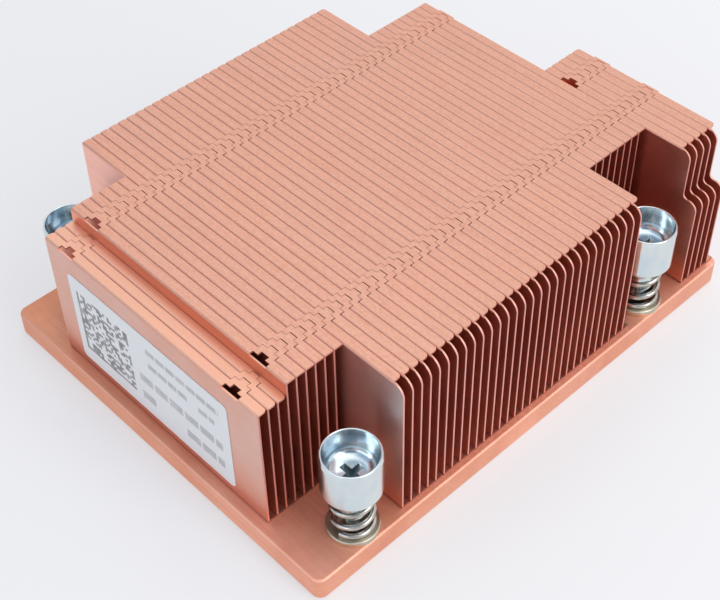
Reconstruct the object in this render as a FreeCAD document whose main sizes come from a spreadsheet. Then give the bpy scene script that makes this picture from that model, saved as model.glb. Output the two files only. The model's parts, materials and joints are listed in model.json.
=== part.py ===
"""Passive copper server heatsink, in millimetres.

A flat base plate carries a row of folded fins that hook into each other along their top flanges.
Four spring-loaded captive screws stand beside the fins. The fins run along X and follow each other
along Y. The origin is under the middle of the plate, with +Z up.
"""
import FreeCAD, Part
import math
import os
from types import SimpleNamespace

import Sketcher

SIZES = {
    # base plate: it is as large as the fins and the margins round them
    "plate_thickness": 4.5,
    "plate_margin_left": 1.2,
    "plate_margin_right": 1.2,
    "plate_margin_front": 2.0,
    "plate_margin_rear": 0.4,
    "plate_corner_radius": 1.6,
    "plate_edge_round": 0.4,
    # folded fins: one sheet, its spacing and its folds
    "fin_pitch": 1.8,
    "sheet_thickness": 0.3,
    "bend_radius": 0.36,
    "flange_gap": 0.05,
    "flange_corner_radius": 0.6,
    # sections of the fin row, from the front
    "low_section_depth": 5.4,
    "front_section_depth": 10.8,
    "wide_section_depth": 54.0,
    "rear_section_depth": 14.4,
    "end_section_depth": 9.0,
    # fin outlines
    "low_fin_height": 25.0,
    "fin_height": 27.6,
    "wide_width": 74.6,
    "wide_corner_radius": 2.1,
    "end_top_width": 31.2,
    "end_shoulder_width": 2.9,
    "end_shoulder_height": 18.1,
    "end_corner_radius": 1.9,
    "end_neck_radius": 0.9,
    "end_shoulder_radius": 1.7,
    # interlock rows, measured in from the ends of the fins
    "left_row_inset": 5.2,
    "right_row_inset": 6.1,
    "end_row_inset": 5.3,
    "window_width": 3.6,
    "window_depth": 0.85,
    "notch_width": 1.6,
    "notch_depth": 0.78,
    "tab_clearance": 0.06,
    "tab_side_gap": 0.14,
    "tongue_gap": 0.15,
    "tab_stub": 0.3,
    # captive screws: gaps between their cups and the fins beside them
    "cup_gap_left": 2.75,
    "cup_gap_right": 4.35,
    "cup_gap_front": 2.55,
    "cup_gap_rear": 1.15,
    "cup_radius": 4.75,
    "cup_height": 8.5,
    "cup_wall": 0.5,
    "cup_depth": 4.2,
    "cup_dish_depth": 0.6,
    "cup_dish_inset": 1.3,
    "cup_base_taper": 0.9,
    "recess_span": 4.0,
    "recess_slot": 0.9,
    "recess_depth": 1.5,
    "shoulder_radius": 2.2,
    "neck_radius": 1.5,
    "thread_radius": 2.0,
    "thread_length": 2.7,
    "thread_chamfer": 0.4,
    "thread_clearance": 0.3,
    "thread_sleeve_gap": 0.1,
    "screw_travel": 3.0,
    "stop_clearance": 0.1,
    # ferrules pressed into the plate
    "ferrule_margin_left": 1.3,
    "ferrule_margin_right": 0.1,
    "ferrule_radius": 4.2,
    "ferrule_flange": 1.0,
    "ferrule_edge": 0.25,
    "ferrule_sleeve_radius": 2.8,
    "ferrule_sleeve_length": 1.2,
    "ferrule_fit": 0.02,
    "neck_clearance": 0.15,
    # springs
    "spring_length": 8.0,
    "spring_radius": 3.15,
    "wire_radius": 0.45,
    "spring_end_turns": 0.5,
    "spring_active_turns": 2.1,
    "spring_seat_gap": 0.05,
    "spring_start_angle": 280.0,
    # adhesive label on the first fin, measured from the fin's lower left corner
    "label_left": 4.8,
    "label_width": 38.6,
    "label_bottom": 1.8,
    "label_height": 19.0,
    "label_thickness": 0.1,
    "label_corner_radius": 1.0,
}

SPRING_POINTS_PER_TURN = 16
OVERCUT = 1.0

ALONG_X = FreeCAD.Vector(1, 0, 0)
ALONG_Y = FreeCAD.Vector(0, 1, 0)
ALONG_Z = FreeCAD.Vector(0, 0, 1)


class Size:
    """A length that holds both its number and the sheet expression that gives it."""

    def __init__(self, number, text):
        self.number = number
        self.text = text

    def __add__(self, other):
        other = as_size(other)
        return Size(self.number + other.number, f"({self.text} + {other.text})")

    def __sub__(self, other):
        other = as_size(other)
        return Size(self.number - other.number, f"({self.text} - {other.text})")

    def __mul__(self, other):
        other = as_size(other)
        return Size(self.number * other.number, f"({self.text} * {other.text})")

    def __truediv__(self, other):
        other = as_size(other)
        return Size(self.number / other.number, f"({self.text} / {other.text})")

    def __neg__(self):
        return Size(-self.number, f"(-{self.text})")


def as_size(term):
    if isinstance(term, Size):
        return term
    return Size(float(term), str(float(term)))


def make_sheet():
    """Write the sizes into the spreadsheet, and give each one back as a Size."""
    sheet = doc.addObject("Spreadsheet::Sheet", "Sizes")
    for row, (alias, number) in enumerate(SIZES.items(), start=1):
        sheet.set(f"A{row}", alias)
        sheet.set(f"B{row}", str(number))
        sheet.setAlias(f"B{row}", alias)
    doc.recompute()
    return SimpleNamespace(**{alias: Size(float(getattr(sheet, alias)), f"Sizes.{alias}") for alias in SIZES})


doc = FreeCAD.newDocument("heatsink")
size = make_sheet()


# ---------------------------------------------------------------- sizes that follow from others

def copies_in(depth):
    """How many fins fill a section of the row."""
    return max(1, round(depth.number / size.fin_pitch.number))


LOW_FINS = copies_in(size.low_section_depth)
FRONT_FINS = copies_in(size.front_section_depth)
WIDE_FINS = copies_in(size.wide_section_depth)
REAR_FINS = copies_in(size.rear_section_depth)
END_FINS = copies_in(size.end_section_depth)
ALL_FINS = LOW_FINS + FRONT_FINS + WIDE_FINS + REAR_FINS + END_FINS

plate_width = size.plate_margin_left + size.wide_width + size.plate_margin_right
plate_depth = size.plate_margin_front + size.fin_pitch * ALL_FINS + size.plate_margin_rear
plate_left = -plate_width / 2
plate_front = -plate_depth / 2
plate_top = size.plate_thickness

fins_front = plate_front + size.plate_margin_front
wide_front = fins_front + size.fin_pitch * (LOW_FINS + FRONT_FINS)
wide_rear = wide_front + size.fin_pitch * WIDE_FINS
flange_end = size.fin_pitch - size.flange_gap

screw_left = plate_left + size.ferrule_margin_left + size.ferrule_radius
screw_right = -plate_left - size.ferrule_margin_right - size.ferrule_radius
screw_front = wide_front - size.cup_gap_front - size.cup_radius
screw_rear = wide_rear + size.cup_gap_rear + size.cup_radius
SCREW_PLACES = {
    "front_left": (screw_left, screw_front),
    "front_right": (screw_right, screw_front),
    "rear_left": (screw_left, screw_rear),
    "rear_right": (screw_right, screw_rear),
}

wide_left = plate_left + size.plate_margin_left
wide_right = wide_left + size.wide_width
narrow_left = screw_left + size.cup_radius + size.cup_gap_left
narrow_right = screw_right - size.cup_radius - size.cup_gap_right
end_top_right = wide_right - size.end_shoulder_width
end_left = end_top_right - size.end_top_width
left_row = narrow_left + size.left_row_inset
right_row = narrow_right - size.right_row_inset
end_row = end_left + size.end_row_inset

ferrule_top = plate_top + size.ferrule_flange
sleeve_bottom = plate_top - size.ferrule_sleeve_length
cup_bottom = ferrule_top + size.spring_length
cup_rim = cup_bottom + size.cup_height
cup_floor = cup_rim - size.cup_depth
dish_floor = cup_floor - size.cup_dish_depth


# ---------------------------------------------------------------- helpers for Part objects

def bind(item, path, length):
    item.setExpression(path, as_size(length).text)


def move(item, x=0, y=0, z=0):
    bind(item, "Placement.Base.x", x)
    bind(item, "Placement.Base.y", y)
    bind(item, "Placement.Base.z", z)
    return item


def box(name, lows, highs):
    """A box from its lowest corner to its highest corner."""
    item = doc.addObject("Part::Box", name)
    for side, low, high in zip(("Length", "Width", "Height"), lows, highs):
        bind(item, side, as_size(high) - low)
    return move(item, *lows)


def cut(name, base, tool):
    item = doc.addObject("Part::Cut", name)
    item.Base = base
    item.Tool = tool
    return item


def common(name, first, second):
    item = doc.addObject("Part::Common", name)
    item.Base = first
    item.Tool = second
    return item


def fuse(name, pieces):
    item = doc.addObject("Part::MultiFuse", name)
    item.Shapes = pieces
    item.Refine = True
    return item


def round_edges(name, base, radii):
    """Fillet straight edges. Each entry is (direction, point on the edge, radius)."""
    doc.recompute()
    rounded = []
    for index, edge in enumerate(base.Shape.Edges, start=1):
        for direction, point, radius in radii:
            if runs_along(edge, direction) and passes_through(edge, direction, point):
                rounded.append((index, radius.number, radius.number))
    item = doc.addObject("Part::Fillet", name)
    item.Base = base
    item.Edges = rounded
    return item


def runs_along(edge, direction):
    if edge.Curve.TypeId != "Part::GeomLine":
        return False
    return abs(edge.tangentAt(edge.FirstParameter).dot(direction)) > 0.999


def passes_through(edge, direction, point):
    """True where a straight edge along the direction lies on a line through the point."""
    away = edge.Vertexes[0].Point - FreeCAD.Vector(*(as_size(term).number for term in point))
    return (away - direction * away.dot(direction)).Length < 0.001


def copy_of(masters, label, x=0, y=0, z=0):
    """A sub-part: a placed copy of one or more master shapes."""
    item = doc.addObject("Part::Compound", label)
    item.Links = masters
    item.Label = label
    return move(item, x, y, z)


# ---------------------------------------------------------------- helpers for bodies and sketches

def new_body(name):
    body = doc.addObject("PartDesign::Body", name)
    body.Label = name
    return body


def new_sketch(body, name, plane, height=0):
    sketch = body.newObject("Sketcher::SketchObject", name)
    planes = [feature for feature in body.Origin.OriginFeatures if feature.Role == plane]
    sketch.AttachmentSupport = [(planes[0], "")]
    sketch.MapMode = "FlatFace"
    bind(sketch, "AttachmentOffset.Base.z", height)
    return sketch


def tie(sketch, geometry, corner, point):
    """Hold one sketch point at its distances from the sketch's origin."""
    for kind, axis, distance in (("DistanceX", -2, point[0]), ("DistanceY", -1, point[1])):
        distance = as_size(distance)
        if distance.number == 0:
            sketch.addConstraint(Sketcher.Constraint("PointOnObject", geometry, corner, axis))
        else:
            held = Sketcher.Constraint(kind, -1, 1, geometry, corner, distance.number)
            bind(sketch, f"Constraints[{sketch.addConstraint(held)}]", distance)


def polygon(sketch, points):
    """A closed polygon, each corner of which is tied to its own sizes."""
    count = len(points)
    corners = [FreeCAD.Vector(as_size(x).number, as_size(y).number, 0) for x, y in points]
    for side in range(count):
        sketch.addGeometry(Part.LineSegment(corners[side], corners[(side + 1) % count]), False)
    for side in range(count):
        sketch.addConstraint(Sketcher.Constraint("Coincident", side, 2, (side + 1) % count, 1))
    for side, point in enumerate(points):
        tie(sketch, side, 1, point)
    return sketch


def circle(sketch, point, radius):
    centre = FreeCAD.Vector(point[0].number, point[1].number, 0)
    geometry = sketch.addGeometry(Part.Circle(centre, ALONG_Z, radius.number), False)
    tie(sketch, geometry, 3, point)
    held = Sketcher.Constraint("Radius", geometry, radius.number)
    bind(sketch, f"Constraints[{sketch.addConstraint(held)}]", radius)


def pad(body, sketch, name, length):
    item = body.newObject("PartDesign::Pad", name)
    item.Profile = sketch
    bind(item, "Length", length)
    return item


def pocket(body, sketch, name, depth):
    """A pocket that goes down from its sketch."""
    item = body.newObject("PartDesign::Pocket", name)
    item.Profile = sketch
    bind(item, "Length", depth)
    return item


def revolve(body, sketch, name):
    item = body.newObject("PartDesign::Revolution", name)
    item.Profile = sketch
    item.ReferenceAxis = (sketch, ["V_Axis"])
    item.Angle = 360
    return item


def fillet(body, base, name, picked, radius):
    """Fillet the edges of a body's feature for which picked(edge) is true."""
    doc.recompute()
    edges = [f"Edge{index}" for index, edge in enumerate(base.Shape.Edges, start=1) if picked(edge)]
    item = body.newObject("PartDesign::Fillet", name)
    item.Base = (base, edges)
    bind(item, "Radius", radius)
    return item


# ---------------------------------------------------------------- base plate

def make_base_plate():
    body = new_body("base_plate")
    outline = polygon(new_sketch(body, "plate_outline", "XY_Plane"), [
        (plate_left, plate_front),
        (-plate_left, plate_front),
        (-plate_left, -plate_front),
        (plate_left, -plate_front),
    ])
    slab = pad(body, outline, "plate_slab", size.plate_thickness)
    corners = fillet(body, slab, "plate_corners", is_upright, size.plate_corner_radius)
    edges = fillet(body, corners, "plate_edges", is_level, size.plate_edge_round)
    holes = new_sketch(body, "screw_hole_circles", "XY_Plane", plate_top)
    seats = new_sketch(body, "ferrule_seat_circles", "XY_Plane", plate_top)
    for place in SCREW_PLACES.values():
        circle(holes, place, size.thread_radius + size.thread_clearance)
        circle(seats, place, size.ferrule_sleeve_radius + size.ferrule_fit)
    pocket(body, holes, "screw_holes", size.plate_thickness)
    pocket(body, seats, "ferrule_seats", size.ferrule_sleeve_length)
    return body


def is_upright(edge):
    return runs_along(edge, ALONG_Z)


def is_level(edge):
    return edge.BoundBox.ZLength < 0.001


# ---------------------------------------------------------------- fins

def fin_outline(name, left, top_right, low_right, top, shoulder, radii):
    """The fin's silhouette along Y, as deep as its flanges."""
    outline = box(name + "_tall", (left, 0, plate_top), (top_right, flange_end, top))
    if shoulder is not None:
        foot = box(name + "_foot", (left, 0, plate_top), (low_right, flange_end, shoulder))
        outline = fuse(name + "_silhouette", [outline, foot])
    if radii:
        outline = round_edges(name + "_outline", outline, radii)
    return outline


def folded_sheet(name, left, right, top):
    """The sheet folded to a channel that opens along +Y, with rounded bends."""
    outside = box(name + "_outside", (left, 0, plate_top), (right, flange_end, top))
    bent = round_edges(name + "_bends", outside, [
        (ALONG_X, (left, 0, plate_top), size.bend_radius),
        (ALONG_X, (left, 0, top), size.bend_radius),
    ])
    low = plate_top + size.sheet_thickness
    high = top - size.sheet_thickness
    inside = box(
        name + "_inside",
        (left - OVERCUT, size.sheet_thickness, low),
        (right + OVERCUT, flange_end + OVERCUT, high),
    )
    inner_radius = size.bend_radius - size.sheet_thickness
    hollow = round_edges(name + "_inner_bends", inside, [
        (ALONG_X, (left, size.sheet_thickness, low), inner_radius),
        (ALONG_X, (left, size.sheet_thickness, high), inner_radius),
    ])
    return cut(name + "_folded", bent, hollow)


def flange_trim(name, left, flange_right, right, top, corner):
    """What is cut from the top flange: its corners, if they are rounded, and what lies past its right end."""
    low = top - size.bend_radius
    around = box(
        name + "_around",
        (left - OVERCUT, size.sheet_thickness, low),
        (right + OVERCUT, flange_end + OVERCUT, top + OVERCUT),
    )
    plan = box(name + "_plan", (left, -OVERCUT, low - OVERCUT), (flange_right, flange_end, top + OVERCUT * 2))
    if corner is not None:
        plan = round_edges(name + "_plan_corners", plan, [
            (ALONG_Z, (left, flange_end, low), corner),
            (ALONG_Z, (flange_right, flange_end, low), corner),
        ])
    return cut(name + "_trim", around, plan)


def windows(name, rows, top):
    """The stepped window at the bend that takes the tabs of the fin in front."""
    low = top - size.sheet_thickness - size.tab_clearance
    cuts = []
    for index, row in enumerate(rows):
        for part, width, start, end in (
            ("window", size.window_width, as_size(-OVERCUT), size.window_depth),
            ("notch", size.notch_width, size.window_depth, size.window_depth + size.notch_depth),
        ):
            lows = (row - width / 2, start, low)
            highs = (row + width / 2, end, top + OVERCUT)
            cuts.append(box(f"{name}_{part}_{index}", lows, highs))
    return cuts


def tabs(name, rows, top, stub_rows):
    """The stepped tabs that run from the flange's edge into the next fin's windows.

    They bear on the windows' left sides, and leave a slot at their right and at their tongues' ends.
    """
    low = top - size.sheet_thickness
    tab_end = size.fin_pitch + size.window_depth - size.tab_clearance
    tongue_end = size.fin_pitch + size.window_depth + size.notch_depth - size.tongue_gap
    tab_left = size.window_width / 2 - size.tab_clearance
    tab_right = size.window_width / 2 - size.tab_side_gap
    tongue_half = size.notch_width / 2 - size.tab_clearance
    pieces = []
    for index, row in enumerate(rows):
        if row in stub_rows:
            spans = [("stub", tab_left, tab_right, flange_end, flange_end + size.tab_stub)]
        else:
            spans = [
                ("tab", tab_left, tab_right, flange_end, tab_end),
                ("tongue", tongue_half, tongue_half, tab_end, tongue_end),
            ]
        for part, left, right, start, end in spans:
            pieces.append(box(f"{name}_{part}_{index}", (row - left, start, low), (row + right, end, top)))
    return pieces


def make_fin(name, kind, stub_rows=(), has_tabs=True):
    """A master fin with its web's front face at y = 0. In the stub rows its tabs are cut short."""
    top = plate_top + (size.low_fin_height if kind == "low" else size.fin_height)
    shoulder = None
    rounded = []
    corner = None if kind == "narrow" else size.flange_corner_radius
    if kind in ("low", "narrow"):
        left, low_right, top_right, flange_right = narrow_left, narrow_right, narrow_right, narrow_right
        rows = [left_row, right_row]
    elif kind == "wide":
        left, low_right, top_right = wide_left, wide_right, wide_right
        flange_right = top_right - size.wide_corner_radius
        rows = [left_row, right_row]
        rounded = [(ALONG_Y, (top_right, 0, top), size.wide_corner_radius)]
    else:
        left, low_right, top_right = end_left, wide_right, end_top_right
        flange_right = top_right - size.end_corner_radius
        rows = [end_row, right_row]
        shoulder = plate_top + size.end_shoulder_height
        rounded = [
            (ALONG_Y, (top_right, 0, top), size.end_corner_radius),
            (ALONG_Y, (top_right, 0, shoulder), size.end_neck_radius),
            (ALONG_Y, (low_right, 0, shoulder), size.end_shoulder_radius),
        ]
    outline = fin_outline(name, left, top_right, low_right, top, shoulder, rounded)
    sheet = common(name + "_sheet", folded_sheet(name, left, low_right, top), outline)
    trimmed = cut(name + "_trimmed", sheet, flange_trim(name, left, flange_right, low_right, top, corner))
    open_sheet = cut(name + "_opened", trimmed, fuse(name + "_windows", windows(name, rows, top)))
    if not has_tabs:
        return open_sheet
    return fuse(name, [open_sheet] + tabs(name, rows, top, stub_rows))


def make_fins():
    """Every fin of the row, as copies of seven masters."""
    low = make_fin("low_master", "low")
    low_last = make_fin("low_last_master", "low", has_tabs=False)
    narrow = make_fin("narrow_master", "narrow")
    narrow_last = make_fin("narrow_last_master", "narrow", [left_row])
    wide = make_fin("wide_master", "wide")
    end = make_fin("end_master", "end")
    end_last = make_fin("end_last_master", "end", [end_row, right_row])
    sections = [
        ("low_fin", LOW_FINS, low, low_last),
        ("front_fin", FRONT_FINS, narrow, narrow),
        ("wide_fin", WIDE_FINS, wide, wide),
        ("rear_fin", REAR_FINS, narrow, narrow_last),
        ("end_fin", END_FINS, end, end_last),
    ]
    fins = []
    place = 0
    for name, count, master, last_master in sections:
        for index in range(1, count + 1):
            chosen = last_master if index == count else master
            y = fins_front + size.fin_pitch * place
            fins.append(copy_of([chosen], f"{name}_{index:02d}", y=y))
            place += 1
    grouped = fins[-END_FINS:]
    return fins[:-END_FINS] + [copy_of(grouped, "end_fins")]


# ---------------------------------------------------------------- ferrules

def make_ferrules():
    """Flanged sleeves pressed into the plate, as one group."""
    body = new_body("ferrule_master")
    bore = size.neck_radius + size.neck_clearance
    section = polygon(new_sketch(body, "ferrule_section", "XZ_Plane"), [
        (bore, sleeve_bottom),
        (size.ferrule_sleeve_radius, sleeve_bottom),
        (size.ferrule_sleeve_radius, plate_top),
        (size.ferrule_radius, plate_top),
        (size.ferrule_radius, ferrule_top - size.ferrule_edge),
        (size.ferrule_radius - size.ferrule_edge, ferrule_top),
        (bore, ferrule_top),
    ])
    revolve(body, section, "ferrule_turned")
    placed = [copy_of([body], f"ferrule_{name}", x=x, y=y) for name, (x, y) in SCREW_PLACES.items()]
    return copy_of(placed, "ferrules")


# ---------------------------------------------------------------- screws

def make_screw_master():
    """A cup-headed screw: cup, stop shoulder, thin neck, and a thread that can't pass the ferrule."""
    body = new_body("screw_master")
    inner = size.cup_radius - size.cup_wall
    stop = ferrule_top + size.screw_travel + size.stop_clearance
    thread_top = sleeve_bottom - size.thread_sleeve_gap
    tip = thread_top - size.thread_length
    section = polygon(new_sketch(body, "screw_section", "XZ_Plane"), [
        (0, tip),
        (size.thread_radius - size.thread_chamfer, tip),
        (size.thread_radius, tip + size.thread_chamfer),
        (size.thread_radius, thread_top),
        (size.neck_radius, thread_top),
        (size.neck_radius, stop),
        (size.shoulder_radius, stop),
        (size.shoulder_radius, cup_bottom),
        (size.cup_radius - size.cup_base_taper, cup_bottom),
        (size.cup_radius, cup_bottom + size.cup_base_taper),
        (size.cup_radius, cup_rim),
        (inner, cup_rim),
        (inner, cup_floor),
        (inner - size.cup_dish_inset, dish_floor),
        (0, dish_floor),
    ])
    revolve(body, section, "screw_turned")
    arm = size.recess_span / 2
    half = size.recess_slot / 2
    cross = polygon(new_sketch(body, "recess_cross", "XY_Plane", dish_floor), [
        (half, half),
        (half, arm),
        (-half, arm),
        (-half, half),
        (-arm, half),
        (-arm, -half),
        (-half, -half),
        (-half, -arm),
        (half, -arm),
        (half, -half),
        (arm, -half),
        (arm, half),
    ])
    pocket(body, cross, "cross_recess", size.recess_depth)
    return body


# ---------------------------------------------------------------- springs

def spring_rise(turn, total, closed, active_rise):
    """Height of the wire's middle above its lower end, with a close-wound turn at each end."""
    closed_rise = 2 * size.wire_radius.number
    if turn <= closed:
        return closed_rise * turn
    if turn >= total - closed:
        return closed_rise * closed + active_rise + closed_rise * (turn - total + closed)
    share = (turn - closed) / (total - 2 * closed)
    return closed_rise * closed + active_rise * share


def make_spring_master():
    """A compression spring of round wire that fills the space between ferrule and cup."""
    wire = size.wire_radius.number
    closed = size.spring_end_turns.number
    total = size.spring_active_turns.number + 2 * closed
    low = ferrule_top.number + size.spring_seat_gap.number + wire
    high = cup_bottom.number - size.spring_seat_gap.number - wire
    active_rise = high - low - 4 * wire * closed
    steps = math.ceil(total * SPRING_POINTS_PER_TURN)
    points = []
    for step in range(steps + 1):
        turn = total * step / steps
        angle = math.radians(size.spring_start_angle.number + 360 * turn)
        radius = size.spring_radius.number
        height = low + spring_rise(turn, total, closed, active_rise)
        points.append(FreeCAD.Vector(radius * math.cos(angle), radius * math.sin(angle), height))
    curve = Part.BSplineCurve()
    curve.interpolate(points)
    path = Part.Wire([curve.toShape()])
    section = Part.Wire([Part.Circle(points[0], curve.tangent(curve.FirstParameter)[0], wire).toShape()])
    shell = Part.BRepOffsetAPI.MakePipeShell(path)
    shell.setBiNormalMode(ALONG_Z)
    shell.add(section)
    shell.build()
    shell.makeSolid()
    spring = doc.addObject("Part::Feature", "spring_master")
    spring.Shape = shell.shape()
    return spring


# ---------------------------------------------------------------- label

def make_label():
    """A plain white label on the front face of the first fin."""
    left = narrow_left + size.label_left
    low = plate_top + size.label_bottom
    lows = (left, fins_front - size.label_thickness, low)
    highs = (left + size.label_width, fins_front, low + size.label_height)
    paper = box("label_paper", lows, highs)
    label = round_edges("label", paper, [
        (ALONG_Y, (x, 0, z), size.label_corner_radius) for x in (lows[0], highs[0]) for z in (lows[2], highs[2])
    ])
    label.Label = "label"
    return label


# ---------------------------------------------------------------- assembly and export

def make_all():
    screw = make_screw_master()
    spring = make_spring_master()
    parts = [make_base_plate(), make_label(), make_ferrules()]
    parts += make_fins()
    for name, (x, y) in SCREW_PLACES.items():
        parts.append(copy_of([screw], f"screw_{name}", x=x, y=y))
        parts.append(copy_of([spring], f"spring_{name}", x=x, y=y))
    doc.recompute()
    return parts


def check(parts):
    for item in doc.Objects:
        if "Invalid" in item.State or "Error" in item.State:
            raise RuntimeError(f"{item.Label} failed to compute")
    for item in parts:
        if item.Shape.isNull() or not item.Shape.isValid():
            raise RuntimeError(f"{item.Label} has no valid shape")


def export(parts):
    os.makedirs("parts", exist_ok=True)
    for item in parts:
        item.Shape.exportStep(f"parts/{item.Label}.step")


all_parts = make_all()
check(all_parts)
export(all_parts)
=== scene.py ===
"""Looks for the passive copper server heatsink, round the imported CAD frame.

Lengths are in metres. Profiles, and the sizes of screws, springs and label rows, are in
millimetres and are multiplied by MM where they are used.
"""

import json
import math

import bmesh
import bpy
from mathutils import Matrix, Vector


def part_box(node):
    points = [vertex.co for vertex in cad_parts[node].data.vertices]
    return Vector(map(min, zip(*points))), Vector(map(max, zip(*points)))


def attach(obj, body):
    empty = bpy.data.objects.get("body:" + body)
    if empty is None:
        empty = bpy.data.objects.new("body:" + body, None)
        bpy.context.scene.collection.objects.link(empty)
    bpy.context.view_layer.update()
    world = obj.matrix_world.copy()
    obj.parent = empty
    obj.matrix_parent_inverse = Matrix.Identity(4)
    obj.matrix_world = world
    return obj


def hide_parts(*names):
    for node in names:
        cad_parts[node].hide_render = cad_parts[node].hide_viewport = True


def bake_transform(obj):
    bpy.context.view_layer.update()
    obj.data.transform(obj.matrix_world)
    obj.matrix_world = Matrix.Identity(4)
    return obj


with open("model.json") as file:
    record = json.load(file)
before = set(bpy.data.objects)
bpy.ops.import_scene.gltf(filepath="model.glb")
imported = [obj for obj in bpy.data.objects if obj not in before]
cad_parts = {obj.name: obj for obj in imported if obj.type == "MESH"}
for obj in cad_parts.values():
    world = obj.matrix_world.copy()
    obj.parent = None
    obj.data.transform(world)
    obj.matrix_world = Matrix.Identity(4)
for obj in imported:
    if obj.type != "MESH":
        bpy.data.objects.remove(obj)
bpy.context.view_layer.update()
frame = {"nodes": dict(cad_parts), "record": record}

MM = 0.001
SUFFIXES = ("front_left", "front_right", "rear_left", "rear_right")
PLATE_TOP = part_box("base_plate")[1].z

# ---------------------------------------------------------------- camera

CAMERA_TARGET = Vector((9.24, -11.52, 16.0)) * MM
CAMERA_DISTANCE = 230.1 * MM
CAMERA_AZIMUTH = -42.91
CAMERA_ELEVATION = 45.98
CAMERA_ROLL = 1.17
LENS_MM = 71.2
SENSOR_MM = 36


def direction(azimuth, elevation):
    """Unit vector that points that way from the object, for angles in degrees from +X and up."""
    azimuth, elevation = math.radians(azimuth), math.radians(elevation)
    return Vector((
        math.cos(elevation) * math.cos(azimuth),
        math.cos(elevation) * math.sin(azimuth),
        math.sin(elevation),
    ))


def add_camera():
    """The camera at the viewing angle of the photograph."""
    away = direction(CAMERA_AZIMUTH, CAMERA_ELEVATION)
    data = bpy.data.cameras.new("camera")
    data.lens = LENS_MM
    data.sensor_width = SENSOR_MM
    data.clip_start = 0.01
    camera = bpy.data.objects.new("camera", data)
    bpy.context.scene.collection.objects.link(camera)
    place = CAMERA_TARGET + away * CAMERA_DISTANCE
    look = (-away).to_track_quat("-Z", "Y").to_matrix().to_4x4()
    roll = Matrix.Rotation(-math.radians(CAMERA_ROLL), 4, "Z")
    camera.matrix_world = Matrix.Translation(place) @ look @ roll
    bpy.context.scene.camera = camera


# ---------------------------------------------------------------- sizes of screws and springs

THREAD_RADIUS = 2.0
THREAD_PITCH = 0.7
THREAD_DEPTH = 0.36
THREAD_LOW, THREAD_HIGH = 1.0, 3.1
# length over which the groove runs out, its flanks' steepness, and rings along it
THREAD_FADE = 0.3
THREAD_FLANK = 1.25
THREAD_STEPS = 30
# (radius, height, rounding) from the tip up the outside, over the rim and down into the cup
SCREW_FOOT = [(0, 0.5, 0), (1.55, 0.5, 0.1), (THREAD_RADIUS, 0.95, 0.05)]
SCREW_BODY = [
    (THREAD_RADIUS, 3.2, 0.05), (1.5, 3.2, 0.05), (1.5, 8.6, 0.05), (2.2, 8.6, 0.15),
    (2.2, 13.5, 0.1), (3.85, 13.5, 0.45), (4.75, 14.4, 0.5), (4.75, 21.25, 0.12),
    (4.6, 22.0, 0.16), (4.28, 22.0, 0.14), (4.2, 17.2, 2.1), (0, 17.2, 0),
]
# (length, half width) of the cross's arms, at the bowl's floor and at the foot
RECESS_TOP = (2.05, 0.56)
RECESS_FOOT = (0.85, 0.34)
RECESS_FLOOR = 17.2
RECESS_DEPTH = 1.5
RECESS_TIP = 0.35
# how far the cutter stands above the floor
RECESS_ABOVE = 0.6

SPRING_RADIUS = 3.15
WIRE_RADIUS = 0.45
# closed turns at each end, the open turns between them, and the angle at which the wire starts
SPRING_END_TURNS = 0.5
SPRING_ACTIVE_TURNS = 2.1
SPRING_START = math.radians(280)
# how much of the wire is ground off each end
SPRING_GROUND = 0.16
WIRE_SIDES = 20
COIL_STEPS = 200

FERRULE_PROFILE = [
    (2.3, 3.3, 0.1), (2.8, 3.3, 0.1), (2.8, 4.5, 0.05), (4.2, 4.5, 0.05), (4.2, 5.5, 0.28),
    (2.3, 5.5, 0.18), (2.3, 3.3, 0.1),
]

# ---------------------------------------------------------------- node trees

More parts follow.
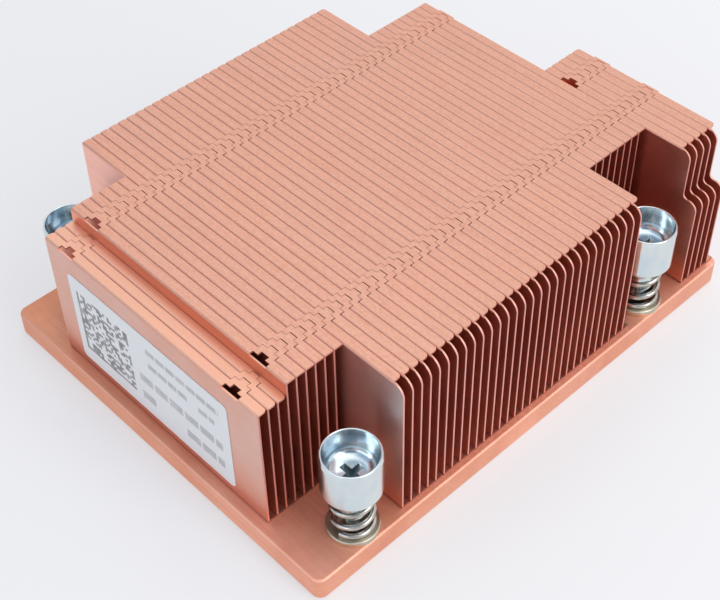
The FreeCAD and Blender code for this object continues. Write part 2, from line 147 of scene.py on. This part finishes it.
class Tree:
    """Short calls that build one node tree. A value is a socket, a number or a tuple."""

    def __init__(self, tree):
        self.tree = tree

    def node(self, kind, **settings):
        made = self.tree.nodes.new(kind)
        for name, value in settings.items():
            setattr(made, name, value)
        return made

    def put(self, value, socket):
        if isinstance(value, bpy.types.NodeSocket):
            self.tree.links.new(value, socket)
        else:
            socket.default_value = value

    def math(self, operation, a, b=0.0):
        made = self.node("ShaderNodeMath", operation=operation)
        self.put(a, made.inputs[0])
        self.put(b, made.inputs[1])
        return made.outputs[0]

    def plus(self, a, b):
        return self.math("ADD", a, b)

    def times(self, a, b):
        return self.math("MULTIPLY", a, b)

    def above(self, value, level):
        return self.math("GREATER_THAN", value, level)

    def below(self, value, level):
        return self.math("LESS_THAN", value, level)

    def inside(self, value, low, high):
        """1 where value is between low and high, and 0 elsewhere."""
        return self.times(self.above(value, low), self.below(value, high))

    def vector(self, operation, a, b):
        made = self.node("ShaderNodeVectorMath", operation=operation)
        self.put(a, made.inputs[0])
        self.put(b, made.inputs[1])
        return made.outputs["Value" if operation == "DOT_PRODUCT" else "Vector"]

    def span(self, value, low, high, to_low=0.0, to_high=1.0, smooth=False):
        """value's place between low and high, clamped, as a number from to_low to to_high."""
        curve = "SMOOTHSTEP" if smooth else "LINEAR"
        made = self.node("ShaderNodeMapRange", interpolation_type=curve)
        for number, item in enumerate((value, low, high, to_low, to_high)):
            self.put(item, made.inputs[number])
        return made.outputs[0]

    def mix(self, share, a, b):
        """Colour a turned into colour b by share."""
        made = self.node("ShaderNodeMix", data_type="RGBA")
        self.put(share, made.inputs[0])
        for number, colour in ((6, a), (7, b)):
            fixed = isinstance(colour, tuple)
            self.put((*colour, 1) if fixed else colour, made.inputs[number])
        return made.outputs[2]

    def noise(self, place, scale, detail=3.0, rough=0.55):
        """Noise from 0 to 1 at place, stretched by scale."""
        made = self.node("ShaderNodeTexNoise")
        self.put(self.vector("MULTIPLY", place, scale), made.inputs["Vector"])
        made.inputs["Scale"].default_value = 1.0
        made.inputs["Detail"].default_value = detail
        made.inputs["Roughness"].default_value = rough
        return made.outputs["Fac"]

    def split(self, place):
        made = self.node("ShaderNodeSeparateXYZ")
        self.put(place, made.inputs[0])
        return made.outputs

    def join(self, x, y, z):
        made = self.node("ShaderNodeCombineXYZ")
        for number, item in enumerate((x, y, z)):
            self.put(item, made.inputs[number])
        return made.outputs[0]

    def random(self, place):
        """A random number from 0 to 1 for each place."""
        made = self.node("ShaderNodeTexWhiteNoise", noise_dimensions="3D")
        self.put(place, made.inputs["Vector"])
        return made.outputs["Value"]

    def bump(self, height, depth):
        """A normal for relief that is depth deep where height goes from 0 to 1."""
        made = self.node("ShaderNodeBump")
        made.inputs["Strength"].default_value = 1.0
        made.inputs["Distance"].default_value = depth
        self.put(height, made.inputs["Height"])
        return made.outputs[0]


def new_material(name):
    """(material, its tree, its shader, place on the piece in metres)."""
    material = bpy.data.materials.new(name)
    material.use_nodes = True
    tree = Tree(material.node_tree)
    shader = material.node_tree.nodes["Principled BSDF"]
    place = tree.node("ShaderNodeTexCoord").outputs["Object"]
    return material, tree, shader, place


# ---------------------------------------------------------------- materials

def streaks(t, place, stretch):
    """Fine rolling streaks along X, as noise from 0 to 1."""
    return t.noise(place, stretch, detail=4.0, rough=0.6)


def facing_of(t):
    """The x, y and z of the way that the surface faces."""
    return t.split(t.node("ShaderNodeNewGeometry").outputs["Normal"])


def metal(t, shader, colour, roughness, height, depth):
    """Puts a metal's colour, roughness and fine relief on its shader."""
    shader.inputs["Metallic"].default_value = 1.0
    t.put(colour, shader.inputs["Base Color"])
    t.put(roughness, shader.inputs["Roughness"])
    t.put(t.bump(height, depth), shader.inputs["Normal"])


FIN_PITCH = 1.8 * MM
# a surface this near to a plane lies in it
ON_PLANE = 0.05 * MM
# how far painted light reaches: painted shade up the labelled face, a painted reflection down the
# step, and a painted reflection along and up the first wide fin
FACE_SHADE_REACH = 15 * MM
STEP_GLOW = 3 * MM
# where the painted reflection on the first wide fin starts and ends along X, and how high it rises
REFLECTION_START, REFLECTION_END = 20 * MM, 36 * MM
REFLECTION_RISE = 16 * MM
# height of the bends at the fins' tops, and of the painted shadow line at their feet
BEND = 0.38 * MM
FOOT_SHADE_LOW, FOOT_SHADE_HIGH = 0.05 * MM, 0.45 * MM


def fin_top_colour(t, place, y, front, lines, blotch):
    """The folded tops: rolling streaks, blotches and specks, and each fin a little different."""
    row = t.math("FLOOR", t.math("DIVIDE", t.math("SUBTRACT", y, front), FIN_PITCH))
    each = t.random(t.join(row, 0.0, 0.0))
    speck = t.noise(place, (2600, 3600, 3600), detail=3.0)
    top = t.mix(t.span(lines, 0.35, 0.75), (0.82, 0.45, 0.34), (0.71, 0.35, 0.25))
    top = t.mix(t.span(blotch, 0.42, 0.72, 0.0, 0.5), top, (0.81, 0.41, 0.285))
    top = t.mix(t.span(each, 0.0, 1.0, 0.0, 0.22), top, (0.71, 0.35, 0.245))
    top = t.mix(t.span(speck, 0.5, 0.66, 0.0, 0.3), top, (0.62, 0.27, 0.18))
    return t.mix(t.span(speck, 0.5, 0.36, 0.0, 0.22), top, (0.90, 0.54, 0.42))


def fin_copper():
    """Thin rolled sheet, satin on top, with painted light: deeper red walls in the gaps and bright
    patches on the step and the first wide face as painted reflections, and painted shade in the
    seams, at the foot and low on the labelled face.
    """
    material, t, shader, place = new_material("copper_fin")
    x, y, z = t.split(place)
    facing = facing_of(t)
    low_top, high_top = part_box("low_fin_01")[1].z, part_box("wide_fin_01")[1].z
    front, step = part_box("low_fin_01")[0].y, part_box("front_fin_01")[0].y
    wide_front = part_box("wide_fin_01")[0].y
    lines = streaks(t, place, (70, 4200, 4200))
    grain = t.noise(place, (5200, 5200, 5200), detail=2.0)
    blotch = t.noise(place, (70, 55, 60), detail=4.0, rough=0.6)
    upward = t.span(facing[2], 0.3, 0.8)

    top = fin_top_colour(t, place, y, front, lines, blotch)
    # painted reflection: the walls, where copper mirrors copper in the gaps, a deeper red than the
    # tops
    web = t.mix(t.span(lines, 0.35, 0.75), (0.95, 0.44, 0.335), (0.86, 0.34, 0.24))
    colour = t.mix(upward, web, top)

    # the labelled face, paler for a painted sheen, and redder towards the plate for painted shade
    face = t.mix(t.span(blotch, 0.35, 0.7), (0.74, 0.45, 0.38), (0.74, 0.39, 0.30))
    stain_and_shade = t.span(z, PLATE_TOP, PLATE_TOP + FACE_SHADE_REACH, 0.75, 0.0, smooth=True)
    face = t.mix(stain_and_shade, face, (0.74, 0.31, 0.225))
    colour = t.mix(t.below(y, front + ON_PLANE), colour, face)

    # painted reflection on the step's face: orange, where copper mirrors copper
    glow = t.times(t.inside(y, step - ON_PLANE, step + ON_PLANE), t.above(z, low_top - STEP_GLOW))
    colour = t.mix(t.times(glow, 0.8), colour, (0.92, 0.33, 0.19))

    # painted reflection on the wide fins' first face: a pale patch towards its right edge
    pale_reflection = t.inside(y, wide_front - ON_PLANE, wide_front + ON_PLANE)
    pale_reflection = t.times(pale_reflection, t.span(x, REFLECTION_START, REFLECTION_END, 0.25, 0.8, smooth=True))
    pale_reflection = t.times(pale_reflection, t.span(z, PLATE_TOP, PLATE_TOP + REFLECTION_RISE))
    colour = t.mix(pale_reflection, colour, (0.97, 0.78, 0.73))

    # painted shade on the cut edges on the right, the faces turned to +X: pinker and darker,
    # against the lamp's glint
    edge = t.span(facing[0], 0.3, 0.8, smooth=True)
    colour = t.mix(t.times(edge, 0.8), colour, (0.80, 0.43, 0.38))

    # painted shade on the bends and the flanges' cut edges, in the seams between one fin and the
    # next
    low_row = t.below(y, step - ON_PLANE)
    crest = t.plus(t.times(low_row, low_top - high_top), high_top - BEND)
    seam_shade = t.times(t.above(z, crest), t.span(facing[2], 0.6, 0.97, 1.0, 0.0, smooth=True))
    colour = t.mix(t.times(seam_shade, 0.35), colour, (0.62, 0.24, 0.15))

    # the low fins' tops are warmer, and a painted shadow makes a dark line at every fin's foot
    colour = t.mix(t.times(t.times(low_row, upward), 0.6), colour, (0.96, 0.54, 0.385))
    low, high = PLATE_TOP + FOOT_SHADE_LOW, PLATE_TOP + FOOT_SHADE_HIGH
    colour = t.mix(t.span(z, low, high, 0.85, 0.0, smooth=True), colour, (0.22, 0.075, 0.05))

    wear = t.plus(t.span(lines, 0.3, 0.7, -0.05, 0.07), t.span(blotch, 0.3, 0.7, -0.03, 0.05))
    roughness = t.plus(t.plus(wear, t.times(edge, 0.2)), 0.38)
    metal(t, shader, colour, roughness, t.plus(lines, t.times(grain, 0.35)), 0.006 * MM)
    shader.inputs["Coat Weight"].default_value = 0.12
    shader.inputs["Coat Roughness"].default_value = 0.35
    return material


# painted shade: the plate is browner and darker on its left, from one of these to the other along
# X
PLATE_SHADED_END, PLATE_LIT_END = -38 * MM, 34 * MM


def plate_copper():
    """Milled plate: duller and browner than the fins, with stains, painted shade towards its left,
    and paler edges that are partly wear and partly a painted highlight.
    """
    material, t, shader, place = new_material("copper_plate")
    x = t.split(place)[0]
    level = t.math("ABSOLUTE", facing_of(t)[2])
    lines = streaks(t, place, (60, 3800, 3800))
    grain = t.noise(place, (4200, 4200, 4200), detail=2.0)
    stain_and_shade = t.noise(place, (60, 75, 60), detail=5.0, rough=0.65)
    colour = t.mix(t.span(lines, 0.35, 0.75), (0.96, 0.505, 0.37), (0.84, 0.39, 0.27))
    colour = t.mix(t.span(stain_and_shade, 0.42, 0.7, 0.0, 0.8), colour, (0.74, 0.32, 0.20))
    # painted shade, darker towards the plate's left
    colour = t.mix(t.span(x, PLATE_SHADED_END, PLATE_LIT_END, 0.7, 0.0), colour, (0.64, 0.275, 0.155))
    # redder sides, and paler metal where they round into the top, partly wear and partly a painted
    # highlight
    colour = t.mix(t.span(level, 0.3, 0.1, 0.0, 0.3), colour, (0.80, 0.35, 0.22))
    rounding = t.span(level, 0.15, 0.5, smooth=True)
    rounding = t.times(rounding, t.span(level, 0.7, 0.97, 1.0, 0.0, smooth=True))
    worn_and_highlight = t.times(rounding, t.span(grain, 0.3, 0.6, 0.3, 0.7))
    colour = t.mix(worn_and_highlight, colour, (0.90, 0.52, 0.41))
    wear = t.plus(t.span(lines, 0.3, 0.7, -0.05, 0.07), t.span(stain_and_shade, 0.3, 0.7, -0.04, 0.06))
    height = t.plus(lines, t.times(grain, 0.4))
    metal(t, shader, colour, t.plus(wear, 0.57), height, 0.008 * MM)
    shader.inputs["Coat Weight"].default_value = 0.1
    shader.inputs["Coat Roughness"].default_value = 0.4
    return material


# squared distances from the axis, in cup widths, within which the bowl and the recess are darkened
# with painted shade
BOWL_REACH = 0.2
RECESS_REACH = 0.0625
# height of the bowl's painted shade above its floor, in mm
BOWL_RISE = 1.3


def zinc():
    """Bright bluish zinc plating with faint clouds and turning marks, and painted shade down in
    the cup and its cross recess.
    """
    material, t, shader, place = new_material("zinc_steel")
    cloud = t.noise(place, (260, 260, 190), detail=3.0)
    rings = t.noise(place, (60, 60, 12000), detail=2.0)
    speck = t.noise(place, (4200, 4200, 4200), detail=2.0)
    colour = t.mix(t.span(cloud, 0.35, 0.65), (0.64, 0.73, 0.79), (0.74, 0.79, 0.79))
    colour = t.mix(t.span(cloud, 0.62, 0.8, 0.0, 0.5), colour, (0.56, 0.69, 0.82))

    z = t.split(place)[2]
    across = t.node("ShaderNodeTexCoord").outputs["Generated"]
    across = t.vector("MULTIPLY", t.vector("SUBTRACT", across, (0.5, 0.5, 0.5)), (1, 1, 0))
    from_axis = t.vector("DOT_PRODUCT", across, across)
    # painted shade: darker and bluer in the bowl, and darker still in the cross recess
    floor = RECESS_FLOOR - 0.05
    bowl = t.inside(z, floor * MM, (RECESS_FLOOR + BOWL_RISE) * MM)
    bowl = t.times(t.below(from_axis, BOWL_REACH), bowl)
    colour = t.mix(t.times(bowl, 0.55), colour, (0.48, 0.58, 0.65))
    recess = t.inside(z, (RECESS_FLOOR - RECESS_DEPTH - 0.5) * MM, floor * MM)
    recess = t.times(t.below(from_axis, RECESS_REACH), recess)
    colour = t.mix(t.times(recess, 0.75), colour, (0.16, 0.20, 0.22))

    height = t.plus(rings, t.times(speck, 0.4))
    metal(t, shader, colour, t.span(speck, 0.3, 0.75, 0.13, 0.21), height, 0.006 * MM)
    shader.inputs["Anisotropic"].default_value = 0.8
    shader.inputs["Anisotropic Rotation"].default_value = 0.25
    around = t.node("ShaderNodeTangent", direction_type="RADIAL", axis="Z")
    t.put(around.outputs[0], shader.inputs["Tangent"])
    return material


def spring_steel():
    """Drawn steel wire: darker streaks round its coils."""
    material, t, shader, place = new_material("spring_steel")
    drawn = t.noise(place, (700, 700, 5000), detail=3.0)
    colour = t.mix(t.span(drawn, 0.35, 0.7), (0.62, 0.60, 0.56), (0.34, 0.32, 0.29))
    metal(t, shader, colour, t.span(drawn, 0.3, 0.7, 0.16, 0.32), drawn, 0.004 * MM)
    return material


def nickel():
    """Greenish grey nickel, dulled in clouds."""
    material, t, shader, place = new_material("ferrule_steel")
    cloud = t.noise(place, (420, 420, 420), detail=4.0)
    grain = t.noise(place, (5000, 5000, 5000), detail=2.0)
    colour = t.mix(t.span(cloud, 0.3, 0.7), (0.60, 0.56, 0.46), (0.47, 0.43, 0.34))
    metal(t, shader, colour, t.span(cloud, 0.3, 0.7, 0.26, 0.4), grain, 0.004 * MM)
    return material


LABEL_CELL = 0.57 * MM
LABEL_CELLS = 23
DARK_CELLS = 0.5
# the block's lower left corner, from the label's
BLOCK_X, BLOCK_Z = 1.6 * MM, 2.9 * MM
# each row of bars: height above the label's foot, height of a bar, start and end from its left
LABEL_ROWS = (
    (15.2, 1.15, 16.9, 36.4),
    (12.0, 1.15, 19.4, 35.2),
    (7.2, 1.75, 16.6, 36.6),
    (3.0, 1.75, 16.6, 36.6),
)
# a bar's pitch in bar heights, the share of the pitch that it fills, and the share left out
BAR_PITCH = 2.1
BAR_FILL = 0.88
BARS_MISSING = 0.12


def label_block(t, x, z, low):
    """1 in the dark cells of a square block with two solid borders, and 0 elsewhere."""
    column = t.math("FLOOR", t.math("DIVIDE", t.math("SUBTRACT", x, low[0] + BLOCK_X), LABEL_CELL))
    line = t.math("FLOOR", t.math("DIVIDE", t.math("SUBTRACT", z, low[2] + BLOCK_Z), LABEL_CELL))
    last = LABEL_CELLS - 0.5
    block = t.times(t.inside(column, -0.5, last), t.inside(line, -0.5, last))
    border = t.math("MAXIMUM", t.below(column, 0.5), t.below(line, 0.5))
    chance = t.random(t.join(column, line, 3.0))
    return t.times(block, t.math("MAXIMUM", border, t.above(chance, DARK_CELLS)))


def label_bars(t, x, z, low):
    """1 in the rows of bars, and 0 elsewhere."""
    bars = 0.0
    for number, (foot, tall, start, end) in enumerate(LABEL_ROWS):
        along = t.math("SUBTRACT", x, low[0] + start * MM)
        along = t.math("DIVIDE", along, tall * BAR_PITCH * MM)
        chance = t.random(t.join(t.math("FLOOR", along), float(number), 7.0))
        shown = t.times(t.below(t.math("FRACT", along), BAR_FILL), t.above(chance, BARS_MISSING))
        row = t.inside(z, low[2] + foot * MM, low[2] + (foot + tall) * MM)
        length = t.inside(x, low[0] + start * MM, low[0] + end * MM)
        bars = t.math("MAXIMUM", bars, t.times(t.times(row, length), shown))
    return bars


def paper():
    """White film with a block of random cells and rows of plain grey bars, which say nothing."""
    material, t, shader, place = new_material("label")
    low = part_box("label")[0]
    x, _, z = t.split(place)
    fade = t.noise(place, (900, 900, 900), detail=3.0)
    cloud = t.noise(place, (90, 90, 90), detail=3.0)
    white = t.mix(cloud, (0.745, 0.74, 0.745), (0.70, 0.695, 0.705))
    cells = t.times(label_block(t, x, z, low), 0.85)
    ink = t.math("MAXIMUM", cells, t.times(label_bars(t, x, z, low), 0.45))
    ink = t.times(ink, t.span(fade, 0.2, 0.55, 0.55, 1.0))
    t.put(t.mix(ink, white, (0.10, 0.095, 0.10)), shader.inputs["Base Color"])
    t.put(t.span(fade, 0.3, 0.7, 0.34, 0.48), shader.inputs["Roughness"])
    t.put(t.bump(t.noise(place, (2500, 2500, 2500)), 0.002 * MM), shader.inputs["Normal"])
    return material


def make_materials():
    """Every slot's material."""
    return {
        "copper_fin": fin_copper(),
        "copper_plate": plate_copper(),
        "zinc_steel": zinc(),
        "spring_steel": spring_steel(),
        "ferrule_steel": nickel(),
        "label": paper(),
    }


def dress_nodes(materials):
    """Every CAD node takes the material of its slot."""
    for entry in frame["record"]["subparts"]:
        node = frame["nodes"][entry["node"]]
        node.data.materials.clear()
        node.data.materials.append(materials[entry["material_slot"]])


# ---------------------------------------------------------------- mesh helpers

ROUNDING_STEPS = 7
TURNED_SEGMENTS = 72


def rounded(corners):
    """A profile's points from corners of (radius from axis, height, rounding), in mm."""
    points = []
    for number, (r, z, fillet) in enumerate(corners):
        here = Vector((r, z))
        if not fillet or number in (0, len(corners) - 1):
            points.append(here)
            continue
        before = Vector(corners[number - 1][:2]) - here
        after = Vector(corners[number + 1][:2]) - here
        half = before.angle(after) / 2
        reach = min(fillet / math.tan(half), 0.49 * before.length, 0.49 * after.length)
        start = here + before.normalized() * reach
        end = here + after.normalized() * reach
        for step in range(ROUNDING_STEPS + 1):
            share = step / ROUNDING_STEPS
            low = start.lerp(here, share)
            high = here.lerp(end, share)
            points.append(low.lerp(high, share))
    return points


def turned(mesh, profile, centre):
    """Adds the profile, turned about a vertical axis through centre, to a bmesh."""
    rings = []
    for r, z in profile:
        on_axis = r < 1e-6
        ring = []
        for step in range(1 if on_axis else TURNED_SEGMENTS):
            angle = math.tau * step / TURNED_SEGMENTS
            x = centre[0] + r * MM * math.cos(angle)
            y = centre[1] + r * MM * math.sin(angle)
            ring.append(mesh.verts.new((x, y, z * MM)))
        rings.append(ring)
    for low, high in zip(rings, rings[1:]):
        for step in range(TURNED_SEGMENTS):
            after = (step + 1) % TURNED_SEGMENTS
            corners = [
                low[step % len(low)], low[after % len(low)],
                high[after % len(high)], high[step % len(high)],
            ]
            mesh.faces.new(list(dict.fromkeys(corners)))


def finish_mesh(mesh, name, sharp_degrees=32):
    """An object of the bmesh, smooth but for its sharp edges."""
    sharp = math.radians(sharp_degrees)
    bmesh.ops.recalc_face_normals(mesh, faces=mesh.faces)
    for face in mesh.faces:
        face.smooth = True
    for edge in mesh.edges:
        edge.smooth = len(edge.link_faces) == 2 and edge.calc_face_angle() < sharp
    data = bpy.data.meshes.new(name)
    mesh.to_mesh(data)
    mesh.free()
    made = bpy.data.objects.new(name, data)
    bpy.context.scene.collection.objects.link(made)
    return made


def cut_out(target, cutter):
    """target with cutter taken away, as a bmesh."""
    tool = target.modifiers.new("cut", "BOOLEAN")
    tool.operation = "DIFFERENCE"
    tool.solver = "EXACT"
    tool.object = cutter
    result = target.evaluated_get(bpy.context.evaluated_depsgraph_get())
    mesh = bmesh.new()
    mesh.from_mesh(result.to_mesh())
    for used in (target, cutter):
        data = used.data
        bpy.data.objects.remove(used)
        bpy.data.meshes.remove(data)
    return mesh


def centre_of(node):
    """A node's x and y in the middle of its box."""
    low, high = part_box(node)
    return (low[0] + high[0]) / 2, (low[1] + high[1]) / 2


# ---------------------------------------------------------------- screws, springs and ferrules

def recess_cutter(centre):
    """A tapered cross that leans out as it rises, with a pointed foot."""
    grow = (RECESS_DEPTH + RECESS_ABOVE) / RECESS_DEPTH
    sizes = [RECESS_FOOT, [a + (b - a) * grow for a, b in zip(RECESS_FOOT, RECESS_TOP)]]
    heights = [RECESS_FLOOR - RECESS_DEPTH, RECESS_FLOOR + RECESS_ABOVE]
    mesh = bmesh.new()
    rings = []
    for (arm, half), z in zip(sizes, heights):
        quarter = [(half, half), (half, arm), (-half, arm)]
        ring = []
        for turn in range(4):
            for x, y in quarter:
                for _ in range(turn):
                    x, y = -y, x
                ring.append(mesh.verts.new((centre[0] + x * MM, centre[1] + y * MM, z * MM)))
        rings.append(ring)
    low, high = rings
    for step in range(len(low)):
        after = (step + 1) % len(low)
        mesh.faces.new((low[step], low[after], high[after], high[step]))
    tip = mesh.verts.new((centre[0], centre[1], (heights[0] - RECESS_TIP) * MM))
    for step in range(len(low)):
        mesh.faces.new((low[(step + 1) % len(low)], low[step], tip))
    mesh.faces.new(high)
    return finish_mesh(mesh, "recess_cutter")


def cut_thread(mesh, centre):
    """Pushes the points of the threaded length in, along a helix."""
    for vert in mesh.verts:
        x, y, z = vert.co.x - centre[0], vert.co.y - centre[1], vert.co.z / MM
        outer = math.hypot(x, y) > 0.95 * THREAD_RADIUS * MM
        if outer and THREAD_LOW < z < THREAD_HIGH:
            phase = (z / THREAD_PITCH - math.atan2(y, x) / math.tau) % 1
            fade = min(1, (z - THREAD_LOW) / THREAD_FADE, (THREAD_HIGH - z) / THREAD_FADE)
            groove = THREAD_DEPTH * fade * min(1, THREAD_FLANK * (1 - abs(2 * phase - 1)))
            scale = 1 - groove / THREAD_RADIUS
            vert.co.x = centre[0] + x * scale
            vert.co.y = centre[1] + y * scale


def add_screw(suffix, material):
    """A cup screw with its thread and cross recess."""
    centre = centre_of("screw_" + suffix)
    rise = (THREAD_HIGH - THREAD_LOW) / THREAD_STEPS
    thread = [(THREAD_RADIUS, THREAD_LOW + rise * step, 0) for step in range(THREAD_STEPS + 1)]
    mesh = bmesh.new()
    turned(mesh, rounded(SCREW_FOOT + thread + SCREW_BODY), centre)
    cut_thread(mesh, centre)
    blank = finish_mesh(mesh, "screw_blank")
    piece = finish_mesh(cut_out(blank, recess_cutter(centre)), "cup_screw_" + suffix)
    piece.data.materials.append(material)
    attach(piece, "screw_" + suffix)
    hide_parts("screw_" + suffix)


def coil_rise(turn, height):
    """How far the wire has risen after turn turns, of height in all, in metres."""
    closed_rise = 2 * WIRE_RADIUS * MM
    last = 2 * SPRING_END_TURNS + SPRING_ACTIVE_TURNS
    if turn <= SPRING_END_TURNS:
        return closed_rise * turn
    if turn >= last - SPRING_END_TURNS:
        return height - closed_rise * (last - turn)
    active_rise = height - 2 * closed_rise * SPRING_END_TURNS
    share = (turn - SPRING_END_TURNS) / SPRING_ACTIVE_TURNS
    return closed_rise * SPRING_END_TURNS + active_rise * share


def add_spring(suffix, material):
    """A wound spring whose end turns close down and are ground flat."""
    node = "spring_" + suffix
    centre = centre_of(node)
    foot, head = (corner[2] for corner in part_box(node))
    wire = WIRE_RADIUS * MM
    low = foot + wire - SPRING_GROUND * MM
    high = head - wire + SPRING_GROUND * MM
    turns = 2 * SPRING_END_TURNS + SPRING_ACTIVE_TURNS
    mesh = bmesh.new()
    rings = []
    for step in range(COIL_STEPS + 1):
        turn = turns * step / COIL_STEPS
        angle = SPRING_START + math.tau * turn
        out = Vector((math.cos(angle), math.sin(angle), 0))
        middle = Vector((*centre, low + coil_rise(turn, high - low))) + out * SPRING_RADIUS * MM
        ring = []
        for side in range(WIRE_SIDES):
            lean = math.tau * side / WIRE_SIDES
            point = middle + out * wire * math.cos(lean)
            point.z = min(max(point.z + wire * math.sin(lean), foot), head)
            ring.append(mesh.verts.new(point))
        rings.append(ring)
    for a, b in zip(rings, rings[1:]):
        for side in range(WIRE_SIDES):
            after = (side + 1) % WIRE_SIDES
            mesh.faces.new((a[side], a[after], b[after], b[side]))
    mesh.faces.new(rings[0])
    mesh.faces.new(rings[-1])
    piece = finish_mesh(mesh, "coil_" + suffix, sharp_degrees=40)
    piece.data.materials.append(material)
    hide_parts(node)
    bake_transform(piece)


def add_ferrules(material):
    """The four flanged sleeves, as one piece."""
    mesh = bmesh.new()
    for suffix in SUFFIXES:
        turned(mesh, rounded(FERRULE_PROFILE), centre_of("screw_" + suffix))
    bmesh.ops.remove_doubles(mesh, verts=mesh.verts, dist=1e-6)
    piece = finish_mesh(mesh, "ferrule_rings")
    piece.data.materials.append(material)
    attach(piece, "base")
    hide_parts("ferrules")


# ---------------------------------------------------------------- light and floor

LAMP_DISTANCE = 0.9
FLOOR_WIDTH = 6
# the plate stands this far above the floor
FLOOR_GAP = 0.0001


def add_area(name, azimuth, elevation, size, power, colour=(1, 1, 1)):
    """A rectangular lamp that looks at the object from that way."""
    data = bpy.data.lights.new(name, "AREA")
    data.shape = "RECTANGLE"
    data.size, data.size_y = size
    data.energy = power
    data.color = colour
    lamp = bpy.data.objects.new(name, data)
    bpy.context.scene.collection.objects.link(lamp)
    away = direction(azimuth, elevation)
    lamp.location = away * LAMP_DISTANCE
    lamp.rotation_euler = (-away).to_track_quat("-Z", "Y").to_euler()


def add_floor():
    """A pale floor that shows its own colour to the camera and to mirrors, and keeps shadows."""
    bpy.ops.mesh.primitive_plane_add(size=FLOOR_WIDTH, location=(0, 0, -FLOOR_GAP))
    floor = bpy.context.object
    floor.name = "floor"
    material, t, shader, place = new_material("floor")
    x, y, _ = t.split(place)
    # painted shade: the floor is darker towards the front left and brighter towards the back right
    side = t.span(t.plus(x, y), -0.16, 0.16, smooth=True)
    t.put(t.mix(side, (0.74, 0.735, 0.75), (0.80, 0.795, 0.81)), shader.inputs["Base Color"])
    shader.inputs["Roughness"].default_value = 0.5

    path = t.node("ShaderNodeLightPath").outputs
    mirrored = t.math("MAXIMUM", path["Is Glossy Ray"], path["Is Transmission Ray"])
    seen = t.times(path["Is Camera Ray"], 0.55)
    share = t.math("MAXIMUM", seen, t.times(mirrored, 0.85))
    # the same painted shade in the colour that the floor shows to the camera
    own = t.mix(side, (0.82, 0.815, 0.835), (0.88, 0.875, 0.895))
    # a whiter sector on the right, which the cups mirror
    turn = t.math("ARCTAN2", y, x)
    sector = t.times(t.span(turn, -0.22, -0.14), t.span(turn, 0.0, 0.06, 1.0, 0.0))
    reflected = t.mix(sector, (0.88, 0.88, 0.89), (1.0, 1.0, 1.0))
    glow = t.node("ShaderNodeEmission")
    t.put(t.mix(mirrored, own, reflected), glow.inputs["Color"])

    both = t.node("ShaderNodeMixShader")
    t.put(share, both.inputs[0])
    t.put(shader.outputs[0], both.inputs[1])
    t.put(glow.outputs[0], both.inputs[2])
    t.put(both.outputs[0], material.node_tree.nodes["Material Output"].inputs["Surface"])
    floor.data.materials.append(material)


def add_world():
    """Pale studio light, brightest overhead, bluer at the front left and behind the camera."""
    world = bpy.data.worlds.new("studio")
    world.use_nodes = True
    t = Tree(world.node_tree)
    way = t.node("ShaderNodeTexCoord").outputs["Generated"]
    over = t.vector("DOT_PRODUCT", way, (0, 0, 1))
    left = t.vector("DOT_PRODUCT", way, direction(-125, 40))
    behind = t.vector("DOT_PRODUCT", way, direction(-43, 48))
    overhead = t.span(over, 0.74, 0.93, smooth=True)
    colour = t.mix(overhead, (0.92, 0.92, 0.93), (1.75, 1.75, 1.75))
    colour = t.mix(t.span(left, 0.6, 0.9, smooth=True), colour, (0.44, 0.58, 0.74))
    colour = t.mix(t.span(behind, 0.92, 0.98, smooth=True), colour, (0.22, 0.27, 0.35))
    background = world.node_tree.nodes["Background"]
    t.put(colour, background.inputs["Color"])
    background.inputs["Strength"].default_value = 1.0
    bpy.context.scene.world = world


# ---------------------------------------------------------------- the scene

add_camera()
add_floor()
add_world()
add_area("right", 10, 40, (0.4, 0.7), 2.9)
add_area("front", -95, 30, (0.8, 0.4), 1.4, (1.0, 0.97, 0.93))

materials = make_materials()
dress_nodes(materials)
add_ferrules(materials["ferrule_steel"])
for suffix in SUFFIXES:
    add_spring(suffix, materials["spring_steel"])
    add_screw(suffix, materials["zinc_steel"])

bpy.context.scene.view_settings.view_transform = "Standard"
